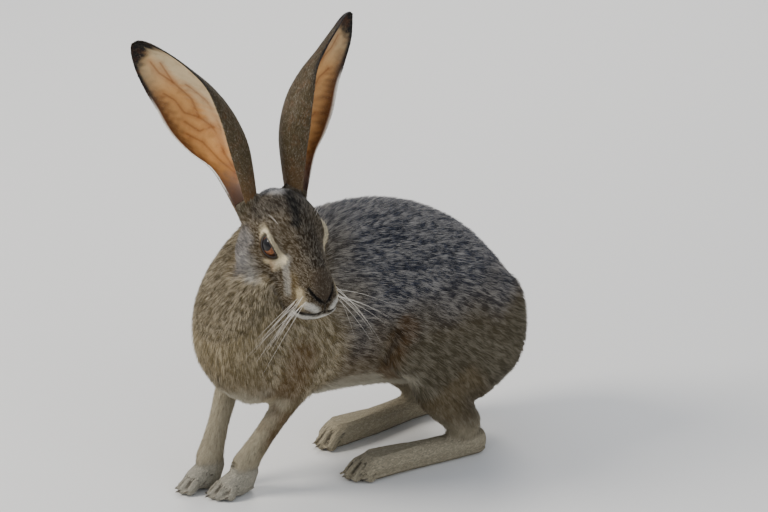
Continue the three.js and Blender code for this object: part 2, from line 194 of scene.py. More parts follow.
def set_values(mesh, name, values):
    """Keeps a number or a colour with each point of a mesh, for its material."""
    kind, field = ("FLOAT", "value") if values.ndim == 1 else ("FLOAT_COLOR", "color")
    layer = mesh.attributes.new(name, kind, "POINT")
    layer.data.foreach_set(field, np.ascontiguousarray(values, dtype=np.float32).ravel())


def values_of(mesh, name):
    values = np.empty(len(mesh.vertices), dtype=np.float32)
    mesh.attributes[name].data.foreach_get("value", values)
    return values.astype(float)


def smooth_shaded(mesh):
    """Shades every face of a mesh smooth."""
    mesh.polygons.foreach_set("use_smooth", np.ones(len(mesh.polygons), dtype=bool))


class Surface:
    """A mesh as arrays, with averages over each point's neighbours."""

    def __init__(self, mesh):
        self.count = len(mesh.vertices)
        pairs = np.empty(len(mesh.edges) * 2, dtype=np.int32)
        mesh.edges.foreach_get("vertices", pairs)
        pairs = pairs.reshape(-1, 2)
        self.here = np.concatenate([pairs[:, 0], pairs[:, 1]])
        self.there = np.concatenate([pairs[:, 1], pairs[:, 0]])
        self.degree = np.maximum(np.bincount(self.here, minlength=self.count), 1)

    def average(self, values):
        values = np.asarray(values, float)
        if values.ndim == 1:
            return np.bincount(self.here, values[self.there], self.count) / self.degree
        return np.stack([self.average(values[:, i]) for i in range(values.shape[1])], axis=1)

    def smooth(self, values, rounds, share=0.5):
        """Draws each value towards its neighbours' average by a share, for some rounds."""
        share = np.asarray(share)
        if share.ndim and np.ndim(values) > 1:
            share = share[:, None]
        for _ in range(rounds):
            values = values + (self.average(values) - values) * share
        return values

    def settle(self, values, rounds, share):
        """Smooths a form without shrinking it."""
        for _ in range(rounds):
            values = self.smooth(values, 1, share * 0.5)
            values = self.smooth(values, 1, share * -0.52)
        return values


def unit(vectors):
    return vectors / np.maximum(np.linalg.norm(vectors, axis=-1, keepdims=True), 1e-9)


def ramp(values, low, high):
    """0 at low, 1 at high, and smooth between them."""
    share = np.clip((values - low) / (high - low), 0, 1)
    return share * share * (3 - 2 * share)


def off_line(places, line):
    """How far places are from a line of points."""
    line = np.array(line, float)
    off = np.full(len(places), 1e9)
    for a, b in zip(line[:-1], line[1:]):
        way = b - a
        share = np.clip((places - a) @ way / (way @ way), 0, 1)
        off = np.minimum(off, np.linalg.norm(places - a - share[:, None] * way, axis=1))
    return off


def both_sides(line):
    """A line on the left of the head or body, and its mirror on the right."""
    return [line, [(-x, y, z) for x, y, z in line]]


WAVES = 7
ANY_PHASE = (0, 6.3)


def noise(places, size, seed):
    """Soft random values round 0, in lumps of the given size: a sum of waves in random directions."""
    draw = np.random.default_rng(seed)
    total = np.zeros(len(places))
    for _ in range(WAVES):
        way = unit(draw.normal(size=3))
        angle = places @ way * (2 * math.pi / size) * draw.uniform(0.6, 1.4)
        total += np.sin(angle + draw.uniform(*ANY_PHASE))
    return total / (WAVES / 2)


flesh = [name for name in nodes if not name.startswith(("eye", "ear"))]
form = bmesh.new()
for name in flesh:
    form.from_mesh(new_mesh("solid", merged(name)))
for side, ear in EAR_ROOTS.items():
    stub = merged(f"ear_{side}")
    axis = unit(np.array(ear["axis"]))
    cut = Vector(from_head(np.array(ear["root"]) + axis * EAR_STUB))
    parts = stub.verts[:] + stub.edges[:] + stub.faces[:]
    bmesh.ops.bisect_plane(
        stub, geom=parts, plane_co=cut, plane_no=Vector(HEAD_AXES @ axis), clear_outer=True
    )
    bmesh.ops.holes_fill(stub, edges=stub.edges)
    form.from_mesh(new_mesh("stub", stub))
    ball = bmesh.ops.create_uvsphere(form, u_segments=24, v_segments=16, radius=SOCKET_BALL)
    bmesh.ops.translate(form, verts=ball["verts"], vec=middle_of(f"eye_{side}"))
block = new_object("form", new_mesh("form", form))
remesh = block.modifiers.new("grain", "REMESH")
remesh.mode = "VOXEL"
remesh.voxel_size = SKIN_GRAIN
hide = finished_mesh(block)


def refine(mesh, wanted):
    """Cuts the faces whose every corner is wanted in four."""
    form = bmesh.new()
    form.from_mesh(mesh)
    form.verts.ensure_lookup_table()
    chosen = set(np.flatnonzero(wanted).tolist())
    edges = [e for e in form.edges if e.verts[0].index in chosen and e.verts[1].index in chosen]
    bmesh.ops.subdivide_edges(form, edges=edges, cuts=1, use_grid_fill=True)
    form.to_mesh(mesh)
    form.free()
    mesh.update()
    return Surface(mesh)


def in_face(places):
    """Whether places are at the front of the head, where eyes, nose and mouth need a finer skin."""
    head_spots = in_head(places)
    long_enough = (head_spots[:, 1] < FACE_BACK) & (head_spots[:, 1] > FACE_FRONT)
    high_enough = np.abs(head_spots[:, 2] - FACE_MIDDLE) < FACE_HALF_HEIGHT
    return long_enough & high_enough & (np.abs(head_spots[:, 0]) < FACE_HALF_WIDTH)


corners = []
triangles = []
owners = []
for name in flesh + ["ear_left", "ear_right"]:
    mesh = nodes[name].data
    mesh.calc_loop_triangles()
    start = len(corners)
    corners.extend(vectors_of(mesh).tolist())
    triangles.extend([[start + i for i in t.vertices] for t in mesh.loop_triangles])
    owners.extend([name] * len(mesh.loop_triangles))
solids = BVHTree.FromPolygons(corners, triangles)


def owner_kinds(places):
    """Each point of the skin belongs to the solid nearest to it, which gives its coat."""
    return np.array([kind_of(owners[solids.find_nearest(Vector(p))[2]]) for p in places])


points = vectors_of(hide)
kind = owner_kinds(points)
toes_end = np.where(kind == "fore_paw", FORE_TOES_END, HIND_TOES_END)
toes = np.isin(kind, FEET) & (points[:, 1] < toes_end)
surface = refine(hide, in_face(points) | toes)
points = vectors_of(hide)
kind = owner_kinds(points)
is_head = kind == "head"
is_foot = np.isin(kind, FEET)
for i in np.flatnonzero(is_foot):
    points[i] = solids.find_nearest(Vector(points[i]))[0]
points = surface.smooth(points, 1, is_foot * 0.6)
points = surface.settle(points, SETTLING_ROUNDS, np.where(is_foot, 0.0, 1.0))
set_points(hide, points)

depth = np.array([COAT_DEPTH[k] for k in kind]) * MM
on_head = NOSE_DEPTH + CROWN_DEEPER * ramp(in_head(points)[:, 1], -50, 30)
depth = np.where(is_head, on_head * MM, depth)
depth = surface.smooth(depth, 12)
normals = vectors_of(hide, "normal")
sole = is_foot & (normals[:, 2] < -0.5)
points = points - normals * (depth * ~sole)[:, None]
points = surface.smooth(points, 1, 0.5 - 0.35 * is_foot)
points[:, 2] = np.maximum(points[:, 2], SOLE_HEIGHT)

# The eye sockets and lids in that skin: a pit for each glass eye, under lids that stand out round a
# slanting opening. Sizes are in millimetres, angles in degrees, and a ring of 1 is the lids' edge.
EYE_RADIUS = 9.0
EYE_AXIS = (0.918, -0.126, 0.37)
EYE_SURROUND = 19
SOCKET_DEEP = 2.5
SOCKET_REACH = 20
SOCKET_BACK = -4
LID_OUT = 10.1
LID_SWELL = 0.9
LID_OPENING = {"turn": 22, "rise": 10.3, "wide": 31, "high": 63, "slant": 56}
FAR_RING = 9


class Eye:
    """An eye's middle, the plane of its lids and where it looks, in the head's frame."""

    def __init__(self, side):
        self.sign = 1 if side == "left" else -1
        self.middle = in_head(np.array(middle_of(f"eye_{side}")))
        self.axis = np.array(EYE_AXIS) * (self.sign, 1, 1)
        turn = math.radians(LID_OPENING["turn"])
        rise = math.radians(LID_OPENING["rise"])
        slant = math.radians(LID_OPENING["slant"])
        level = math.cos(rise)
        self.gaze = np.array([self.sign * math.cos(turn) * level, -math.sin(turn) * level, math.sin(rise)])
        above = unit(np.array([0.0, 0.0, 1.0]) - self.gaze * self.gaze[2])
        behind = np.cross(above, self.gaze) * self.sign
        self.behind = behind * math.cos(slant) - above * math.sin(slant)
        self.above = above * math.cos(slant) + behind * math.sin(slant)

    def ring(self, places):
        """How far places are out from the gaze: 1 is the lids' edge."""
        way = unit(places - self.middle)
        angle = np.arccos(np.clip(way @ self.gaze, -1, 1))
        flat = unit(np.stack([way @ self.behind, way @ self.above], axis=-1))
        wide = flat[..., 0] / math.radians(LID_OPENING["wide"])
        high = flat[..., 1] / math.radians(LID_OPENING["high"])
        return angle * np.hypot(wide, high)

    def surrounds(self, places):
        """Whether places are on the skin round the eye."""
        return np.linalg.norm(places - self.middle, axis=1) < EYE_SURROUND

    def edge(self, angle, radius, share):
        """A point at a share of the way out to the lids' edge, at an angle round the gaze."""
        wide = math.cos(angle) / math.radians(LID_OPENING["wide"])
        high = math.sin(angle) / math.radians(LID_OPENING["high"])
        off = share / math.hypot(wide, high)
        side = self.behind * math.cos(angle) + self.above * math.sin(angle)
        return self.middle + radius * (self.gaze * math.cos(off) + side * math.sin(off))


eyes = {side: Eye(side) for side in ("left", "right")}
unpressed = in_head(points)
head_spots = unpressed.copy()
for eye in eyes.values():
    out = head_spots - eye.middle
    reach = np.linalg.norm(out, axis=1)
    near = (reach < SOCKET_REACH) & (out @ eye.gaze > SOCKET_BACK)
    ring = np.where(near, eye.ring(head_spots), FAR_RING)
    socket = EYE_RADIUS - SOCKET_DEEP
    wanted = socket + (LID_OUT - socket) * ramp(ring, 0.8, 0.95) + LID_SWELL * ramp(ring, 1.02, 1.2)
    blend = 1 - ramp(ring, 1.1, 1.5)
    head_spots = head_spots + unit(out) * ((wanted - reach) * blend * near)[:, None]

# The creases of the face, pressed into the skin: the mouth, the cleft over it and the nostrils. The
# pads of the lips stand out. Each has its lines, and its width and depth in millimetres.
MOUTH = [(15, -43.4, -28), (13.2, -48.4, -26), (9, -52.1, -24.9), (4.5, -53.8, -23.6), (0, -53.8, -22.8)]
PHILTRUM = [(0, -54, -15.5), (0, -54, -22.8)]
NOSTRIL = [(9, -44.8, -7.7), (5.2, -50.2, -12.5), (1.6, -53.4, -14.9)]
PAD = [(13.5, -38, -15), (11, -47, -17), (6, -52, -18.5)]
CREASES = [
    ([PHILTRUM], 0.9, 1.1),
    (both_sides(MOUTH), 1.2, 1.7),
    (both_sides(NOSTRIL), 1.2, 2.2),
    (both_sides(PAD), 4.0, -0.7),
]
HEAD_CORE = (0, 0, -12)
inward = unit(np.array(HEAD_CORE) - head_spots)
pressed = np.zeros(len(head_spots))
for lines, width, deep in CREASES:
    for line in lines:
        pressed += np.exp(-((off_line(head_spots, line) / width) ** 2)) * deep
head_spots = head_spots + inward * (pressed * is_head)[:, None]
touched = np.abs(head_spots - unpressed).max(axis=1) > 1e-4
points[touched] = from_head(head_spots[touched])
set_points(hide, points)
smooth_shaded(hide)
normals = vectors_of(hide, "normal")
hollow = np.einsum("ij,ij->i", surface.average(points) - points, normals) / MM
head_spots = in_head(points)

# Its markings, which the coat shares: the colour of the hair at each point of the skin, and how
# strongly it is grizzled, with black tips over a pale band. They are laid on in strokes; a few of
# them are painted shade, and the blue cast of the back is painted skylight.
# The back's own grizzled grey, with a blue cast that is painted skylight.
SADDLE_SKY_TINTED = "484c5a"
TICKED = "95845f"
FACE = "43341a"
BUFF = "54411f"
HAUNCH = "534b38"
CREAM = "b8a885"
PALE_LIMB = "b4a98f"
WHITE = "e3dfd4"
GREY = "8b8a8c"
RUST = "5c3f16"
GOLD = "5f4d29"
BROWN = "291f12"
BLACK = "0c0a09"
NOSE = "4a3e30"
BELLY = "b0a996"
SHANK = "63573f"
PAW = "b3ad9c"
CROWN_GREY = "a9a8a8"
CHEEK_DARK = "8f8d88"
CHEEK_PALE = "b2afa6"
CHEEK_LINE = "bdbab1"
UNDER_EYE = "bfbdb4"
EYE_RING = "eadbb8"
EYE_CORNER = "8a6032"


def shade(code):
    """A colour that is written as on a paint card, in the scene's linear light."""
    parts = [int(code[i:i + 2], 16) / 255 for i in (0, 2, 4)]
    return tuple(c / 12.92 if c <= 0.04045 else ((c + 0.055) / 1.055) ** 2.4 for c in parts) + (1.0,)


class Markings:
    """The colour and grizzle of the hair over a surface, laid on in strokes."""

    def __init__(self, count, code, grizzle):
        self.colour = np.tile(np.array(shade(code)[:3]), (count, 1))
        self.grizzle = np.full(count, float(grizzle))

    def lay(self, share, code, grizzle):
        share = np.clip(share, 0, 1)
        self.colour += (np.array(shade(code)[:3]) - self.colour) * share[:, None]
        self.grizzle += (grizzle - self.grizzle) * share

    def values(self):
        return np.concatenate([self.colour, self.grizzle[:, None]], axis=1)


def of_kind(*names):
    """1 at the points of the skin over the named solids, and 0 elsewhere."""
    return np.isin(kind, names).astype(float)


body_spots = points / MM
x, y, z = body_spots.T
lumps = noise(points, 45 * MM, 1)
ripple = noise(points, 9 * MM, 2)
marks = Markings(len(points), BUFF, 0.3)
behind = ramp(y + 14 * lumps, -96, -16)
saddle = of_kind("torso", "neck") * ramp(z + 12 * lumps, 88, 146)
saddle = saddle + of_kind("thigh") * ramp(z + 9 * lumps, 100, 150)
marks.lay(surface.smooth(saddle * behind, 14), SADDLE_SKY_TINTED, 1)
marks.lay(surface.smooth(of_kind("torso") * (1 - behind) * ramp(z, 90, 130), 14), TICKED, 0.6)
marks.lay(surface.smooth(of_kind("neck", "upper_arm") * 0.85, 16), TICKED, 0.9)
marks.lay(surface.smooth(of_kind("thigh") * (1 - ramp(z + 9 * lumps, 96, 142)), 12), HAUNCH, 0.2)
chest = surface.smooth(of_kind("torso", "neck") * ramp(-y, 88, 112) * (1 - ramp(z, 100, 150)), 16)
marks.lay(chest * 0.45, TICKED, 0.4)
belly = surface.smooth(of_kind("torso", "thigh", "shank") * ramp(-normals[:, 2], 0.35, 0.8), 8)
marks.lay(belly, BELLY, 0)
marks.lay(surface.smooth(of_kind("shank") * 0.8, 10), SHANK, 0.1)
marks.lay(surface.smooth(of_kind("shank") * (1 - ramp(z + 3 * ripple, 16, 46)), 10) * 0.7, PALE_LIMB, 0)
rear = ramp(0.5 * normals[:, 0] * np.sign(x) + 0.8 * normals[:, 1] + 0.15 * ripple, -0.02, 0.4)
marks.lay(surface.smooth(of_kind("forearm"), 14) * 0.85, PALE_LIMB, 0)
marks.lay(surface.smooth(of_kind("forearm") * rear * ramp(z, 24, 44), 8) * 0.85, GOLD, 0.15)
marks.lay(surface.smooth(of_kind("fore_paw"), 16) * 0.9, PAW, 0)
marks.lay(surface.smooth(of_kind("hind_foot"), 24) * 0.9, PALE_LIMB, 0)
marks.lay(surface.smooth(of_kind("tail"), 3), BLACK, 0)
marks.lay(surface.smooth(of_kind("tail") * ramp(-normals[:, 1], 0.1, 0.6), 3), CREAM, 0)
marks.lay(surface.smooth(of_kind("ear"), 8) * 0.8, HAUNCH, 0.5)
RUST_LINES = [
    ([(44, -75, 116), (36, -80, 92)], 15),
    ([(47, 9, 120), (47, 2, 108), (46, 0, 97)], 9),
    ([(40, -4, 88), (30, 12, 76)], 8),
    ([(27, -76, 68), (24, -81, 58), (20, -84, 46)], 7),
]
for line, reach in RUST_LINES:
    for rust in both_sides(line):
        off = off_line(body_spots, rust)
        marks.lay(0.7 * (1 - ramp(off + 2 * ripple, reach * 0.4, reach * 1.3)), RUST, 0.2)
# Painted shade: brown laid in the crease before each thigh and low on the back of each haunch.
SHADED_FOLDS = [
    ([(48, 4, 116), (44, -2, 104), (42, -4, 94)], 5, 0.75),
    ([(47, 68, 44), (50, 92, 56)], 20, 0.4),
]
for line, reach, share in SHADED_FOLDS:
    for shaded_fold in both_sides(line):
        off = off_line(body_spots, shaded_fold) + ripple
        marks.lay(share * (1 - ramp(off, reach * 0.3, reach)), BROWN, 0)

# The face. A stroke has its colour, its share of that colour, its reach in millimetres, its
# grizzle and its line on the head, and is laid on both sides.
marks.lay(surface.smooth(is_head * 1.0, 6), FACE, 0.45)
FACE_STROKES = [
    (CROWN_GREY, 0.75, 9, 0.6, [(0, 36, 17), (0, 28, 24), (0, 22, 26)]),
    (BROWN, 0.9, 9, 0.3, [(17, 19, 13), (6, 10, 23), (0, 3, 24)]),
    (BROWN, 0.55, 7, 0.3, [(0, -6, 20), (0, -22, 10), (0, -34, 4)]),
    (CHEEK_DARK, 0.5, 7, 0.7, [(29, 5, -19), (27, -3, -24)]),
    (CHEEK_PALE, 0.5, 5, 0.5, [(26.8, -9, -26), (25, -20, -30), (21, -27, -35)]),
    (CHEEK_LINE, 0.4, 2.8, 0.3, [(26.7, -0.8, -24), (26.9, -11.7, -26.8), (25.9, -19.8, -29.5)]),
    (BROWN, 0.75, 3.2, 0.2, [
        (38, 9, -42), (35, 0, -38), (33.8, -8, -34), (30.8, -21.6, -36), (22, -30.6, -41), (14, -36, -44),
    ]),
    (GREY, 0.5, 9, 0.5, [(30, 14, -8), (31, 10, -24)]),
    (BROWN, 0.5, 4.5, 0.4, [(18.3, -17.6, -14.6), (19, -18.3, -23.3)]),
    (GOLD, 0.7, 5.5, 0.1, [(13.9, -30.7, -9.2), (14.6, -38.9, -16), (14.6, -44.8, -20.2)]),
    (UNDER_EYE, 0.4, 3.8, 0.35, [
        (12.6, -19.5, -0.5), (14, -22.5, -6.8), (14.6, -28, -13), (15.6, -31, -20),
    ]),
    (CREAM, 0.8, 2.0, 0, [(18.4, -12.4, -6.8), (21.9, -6.4, -11)]),
    (CREAM, 0.8, 4.2, 0, [(14, -42, -13), (13, -47, -18)]),
    (WHITE, 0.7, 2.8, 0, [(10.5, -49.4, -18.4), (5.2, -53, -19.5)]),
    (WHITE, 0.75, 3.6, 0, [(15, -42, -32), (8.7, -51, -28.5), (0, -52, -29)]),
    (WHITE, 0.7, 9, 0, [(14, -20, -42), (0, -40, -36)]),
]
near_head = of_kind("head", "neck") * ramp(surface.smooth(is_head * 1.0, 30), 0.0, 0.25)
for code, share, reach, grizzle, line in FACE_STROKES:
    for stroke in both_sides(line):
        off = off_line(head_spots, stroke) + 0.16 * reach * ripple
        marks.lay(share * near_head * (1 - ramp(off, reach * 0.45, reach * 1.35)), code, grizzle)
STREAK = [(4, 20, 24), (0, 8, 25), (-0.7, 0.7, 23.8), (-4, -9, 19)]
marks.lay(0.95 * is_head * (1 - ramp(off_line(head_spots, STREAK) + 0.6 * ripple, 1.6, 5)), BLACK, 0)
NOSE_BRIDGE = [(0, -43.5, -2), (0, -51, -12)]
NOSE_WING = [(5, -45, -6), (3, -50, -12)]
off_nose = np.minimum(off_line(head_spots, NOSE_BRIDGE), off_line(head_spots, NOSE_WING) + 1.5)
marks.lay(0.9 * is_head * (1 - ramp(off_nose, 4.6, 8.4)), NOSE, 0)
for eye in eyes.values():
    near = eye.surrounds(head_spots)
    ring = eye.ring(head_spots)
    out = unit(head_spots - eye.middle)
    back_corner = ramp(out @ eye.behind, 0.1, 0.6)
    front_corner = ramp(out @ -eye.behind, 0, 0.6)
    reach = 1.3 - 0.1 * (out @ eye.above) + 0.2 * front_corner
    pale_ring = (1 - ramp(ring, reach, reach + 0.24)) * near
    marks.lay(0.95 * pale_ring * (1 - 0.75 * back_corner), EYE_RING, 0)
    marks.lay(0.6 * pale_ring * back_corner, EYE_CORNER, 0)
    marks.lay(0.9 * (1 - ramp(ring, 1.08, 1.18)) * near, BROWN, 0)
# Painted shade: black laid along the pressed mouth, nostrils and cleft, for the shade in these openings.
for line in both_sides(MOUTH):
    marks.lay(0.92 * is_head * (1 - ramp(off_line(head_spots, line), 0.8, 2.1)), BLACK, 0)
for line in both_sides(NOSTRIL):
    marks.lay(0.95 * is_head * (1 - ramp(off_line(head_spots, line), 0.9, 2.0)), BLACK, 0)
marks.lay(0.85 * is_head * (1 - ramp(off_line(head_spots, PHILTRUM), 0.7, 1.6)), BLACK, 0)
# Painted shade: brown laid in the hollows between the toes, low on the feet.
toe_height = ramp(z, 4, 7) * (1 - ramp(z, 12, 16))
marks.lay(of_kind(*FEET) * toe_height * 0.8 * ramp(hollow, 0.008, 0.045), BROWN, 0)
set_values(hide, "ground", marks.values())


class Value:
    """A node's output that can take part in sums."""

    def __init__(self, finish, socket):
        self.finish = finish
        self.socket = socket

    def _math(self, operation, *inputs):
        return self.finish.node("ShaderNodeMath", {"operation": operation}, dict(enumerate(inputs)))

    def __add__(self, other):
        return self._math("ADD", self, other)

    def __sub__(self, other):
        return self._math("SUBTRACT", self, other)

    def __rsub__(self, other):
        return self._math("SUBTRACT", other, self)

    def __mul__(self, other):
        return self._math("MULTIPLY", self, other)

    __radd__ = __add__
    __rmul__ = __mul__

    def step(self, low, high):
        """0 up to low, 1 from high on, and smooth between them."""
        settings = {"interpolation_type": "SMOOTHSTEP"}
        inputs = {"Value": self, "From Min": low, "From Max": high}
        return self.finish.node("ShaderNodeMapRange", settings, inputs)


class Finish:
    """A material and the nodes behind it."""

    def __init__(self, name, **fixed):
        self.material = bpy.data.materials.new(name)
        self.material.use_nodes = True
        self.tree = self.material.node_tree
        self.shader = self.tree.nodes["Principled BSDF"]
        for socket, value in fixed.items():
            self.shader.inputs[socket.replace("_", " ")].default_value = value

    def node(self, kind, settings=None, inputs=None, output=0):
        made = self.tree.nodes.new(kind)
        for key, value in (settings or {}).items():
            setattr(made, key, value)
        for key, value in (inputs or {}).items():
            if isinstance(value, Value):
                self.tree.links.new(value.socket, made.inputs[key])
            else:
                made.inputs[key].default_value = value
        return Value(self, made.outputs[output])

    def mix(self, low, high, share):
        """A colour between two. Of the Mix node's sockets, 0 is the factor, and 6 and 7 the colours."""
        return self.node("ShaderNodeMix", {"data_type": "RGBA"}, {0: share, 6: low, 7: high}, 2)

    def attribute(self, name, output="Fac"):
        return self.node("ShaderNodeAttribute", {"attribute_name": name}, output=output)

    def grain(self, scale, detail=3.0):
        place = self.node("ShaderNodeTexCoord", output="Object")
        return self.node("ShaderNodeTexNoise", inputs={"Vector": place, "Scale": scale, "Detail": detail})

    def feed(self, socket, value):
        """Links a value to a socket of the shader."""
        self.tree.links.new(value.socket, self.shader.inputs[socket])

    def rough(self, height, distance):
        bump = self.node("ShaderNodeBump", inputs={"Height": height, "Distance": distance})
        self.feed("Normal", bump)


hide_finish = Finish("hide under the coat", Roughness=0.85, Specular_IOR_Level=0.1)
# The hide takes the coat's colour, darkened with black as painted shade under the hair.
under = hide_finish.mix(hide_finish.attribute("ground", "Color"), shade(BLACK), 0.35)
fine = hide_finish.grain(1400.0)
hide_finish.feed("Base Color", hide_finish.mix(under, shade(BLACK), fine.step(0.45, 0.7) * 0.35))
hide_finish.rough(fine, 0.4 * MM)
hide.materials.clear()
hide.materials.append(hide_finish.material)
skin = new_object("skin", hide)
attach(skin, "root")
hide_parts(*flesh)


# The eyes: glass, as a taxidermist sets them, a black pupil in an amber iris under a clear dome,
# with the bare dark margin of the lids round each. The edges are in degrees from the eye's axis.
PUPIL_EDGE = (30, 33)
IRIS_EDGE = (50, 58)
PUPIL_BLACK = "0a0605"
IRIS_DARK = "4a2610"
IRIS_LIGHT = "8f5527"
MARGIN_DARK = "120e0c"
MARGIN_LIGHT = "33261f"
MARGIN_POINTS = 40
MARGIN_RADIUS = 0.6 * MM
MARGIN_OUT = 0.35
MARGIN_SHARE = 0.92
eye_finish = Finish(
    "glass eye", Roughness=0.3, Specular_IOR_Level=0.1, Coat_Weight=0.5, Coat_Roughness=0.02
)
off_axis = eye_finish.attribute("off_axis")
streaks = eye_finish.grain(700.0, 4.0)
amber = eye_finish.mix(shade(IRIS_DARK), shade(IRIS_LIGHT), streaks.step(0.2, 0.85))
iris = off_axis.step(*PUPIL_EDGE) - 0.8 * off_axis.step(*IRIS_EDGE)
eye_finish.feed("Base Color", eye_finish.mix(shade(PUPIL_BLACK), amber, iris))
margin_finish = Finish("bare margin of the lids", Roughness=0.35)
moist = margin_finish.grain(900.0)
margin_finish.feed("Base Color", margin_finish.mix(shade(MARGIN_DARK), shade(MARGIN_LIGHT), moist))
for side, eye in eyes.items():
    form = bmesh.new()
    bmesh.ops.create_uvsphere(form, u_segments=64, v_segments=40, radius=EYE_RADIUS * MM)
    bmesh.ops.translate(form, verts=form.verts, vec=middle_of(f"eye_{side}"))
    ball = new_object(f"eyeball_{side}", new_mesh(f"eyeball_{side}", form))
    smooth_shaded(ball.data)
    way = unit(in_head(vectors_of(ball.data)) - eye.middle)
    set_values(ball.data, "off_axis", np.degrees(np.arccos(np.clip(way @ unit(eye.axis), -1, 1))))
    ball.data.materials.append(eye_finish.material)
    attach(ball, "root")
    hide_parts(f"eye_{side}")

    outline = bpy.data.curves.new("margin", "CURVE")
    outline.dimensions = "3D"
    outline.bevel_depth = MARGIN_RADIUS
    outline.bevel_resolution = 2
    strand = outline.splines.new("POLY")
    strand.points.add(MARGIN_POINTS - 1)
    for i, point in enumerate(strand.points):
        angle = 2 * math.pi * i / MARGIN_POINTS
        place = from_head(eye.edge(angle, EYE_RADIUS + MARGIN_OUT, MARGIN_SHARE))
        point.co = (*place, 1)
    strand.use_cyclic_u = True
    margin = new_object(f"lid_margin_{side}", finished_mesh(new_object("margin", outline)))
    smooth_shaded(margin.data)
    margin.data.materials.append(margin_finish.material)
    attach(margin, "root")


# The ears: thin cups of gristle, furred outside and nearly bare inside, where veins and blood show
# through the skin, in a warm colour painted as lit through the ear, with painted shade in the cup
# towards its outer edge. Each is rolled nearly shut at its root, which stands in the skin of the head.
EAR_LENGTH = 138
EAR_DIAMETER = 47
EAR_FLATNESS = 0.85
EAR_WIDTH = (0.39, 0.54, 0.7, 0.91, 1.03, 1.05, 0.99, 0.86, 0.68)
EAR_ROLL = (2.6, 2.56, 2.45, 2.11, 1.82, 1.47, 1.21, 1.16, 1.2)
EAR_FORWARD = (-1.4, -5.5, -8.5, -7.8, -5.3, -0.6, 4.8, 4.7, -1.5)
EAR_OUTWARD = (0.4, -2.2, -3.8, -1.9, -0.2, 0.8, 2.4, 4.9, 9.5)
TIP_STARTS = 0.72
TIP_BLUNT = 2.1
TIP_CLOSED = 0.985
RIM_THINNER = 0.45
EAR_SKIN_OUT = 0.35
EAR_SKIN_IN = -0.85
EAR_BURIED = 0.05
EAR_ACROSS = 84
EAR_ALONG = 170
EAR_BACK = "4a3d25"
EAR_BASE = "5a4326"
# The inner skin's own warm colour, painted light as if lit through the thin ear.
EAR_INSIDE_LIT = "d09c60"
# Painted shade inside the cup towards its outer edge.
EAR_CUP_SHADE = "5f3b1f"
EAR_MIDDLE_SIDE = "d8c7a2"
EAR_DEPTHS = "8b7a78"
EAR_UPPER = "b5a27e"
EAR_RIM = "f4efe4"
EAR_MOTTLE = "7a4a26"
EAR_DOWN = "e0c9a2"
VEIN = "643a20"
VEIN_GLOW = "9a5a2c"
VEINS = [
    [(0.2, 0.14), (0.3, 0.28), (0.2, 0.42), (0.3, 0.5), (0.2, 0.6), (0.24, 0.72), (0.08, 0.84)],
    [(0.3, 0.28), (0.1, 0.4), (-0.02, 0.55), (0.04, 0.68)],
    [(0.3, 0.5), (0.48, 0.56), (0.5, 0.64), (0.62, 0.7)],
    [(0.2, 0.14), (0.46, 0.27), (0.5, 0.38), (0.66, 0.46)],
    [(0.2, 0.42), (0.44, 0.44), (0.56, 0.52)],
    [(0.24, 0.72), (0.36, 0.8), (0.34, 0.87)],
]


def through(values, along):
    """A smooth curve through evenly spaced values, from 0 along it to 1."""
    values = np.array(values, float)
    values = np.concatenate([[2 * values[0] - values[1]], values, [2 * values[-1] - values[-2]]])
    way = np.clip(along, 0, 1) * (len(values) - 3)
    i = np.minimum(way.astype(int), len(values) - 4)
    rest = way - i
    a, b, c, d = values[i], values[i + 1], values[i + 2], values[i + 3]
    bend = 2 * a - 5 * b + 4 * c - d + rest * (3 * (b - c) + d - a)
    return b + 0.5 * rest * (c - a + rest * bend)


def on_ear(ear, across, along, layer):
    """Points of an ear, across it from the middle edge at -1 to the outer edge at 1, and along it
    from the root at 0 to the tip at 1. The layer is how many millimetres they lie outside its sheet."""
    axis = unit(np.array(ear["axis"], float))
    front = np.array(ear["opening"], float)
    front = unit(front - axis * (front @ axis))
    out = np.cross(axis, front) * ear["sign"]
    beyond = np.maximum(0, (along - TIP_STARTS) / (1 - TIP_STARTS))
    tip = (1 - TIP_CLOSED * beyond ** TIP_BLUNT) ** (1 / TIP_BLUNT)
    radius = through(EAR_WIDTH, along) * EAR_DIAMETER * tip / 2
    radius = radius + layer * (1 - RIM_THINNER * across ** 4)
    angle = across * through(EAR_ROLL, along)
    forward = through(EAR_FORWARD, along) - EAR_FLATNESS * radius * np.cos(angle)
    outward = through(EAR_OUTWARD, along) + radius * np.sin(angle)
    middle = ear["root"] + along[:, None] * EAR_LENGTH * axis
    return middle + forward[:, None] * front + outward[:, None] * out


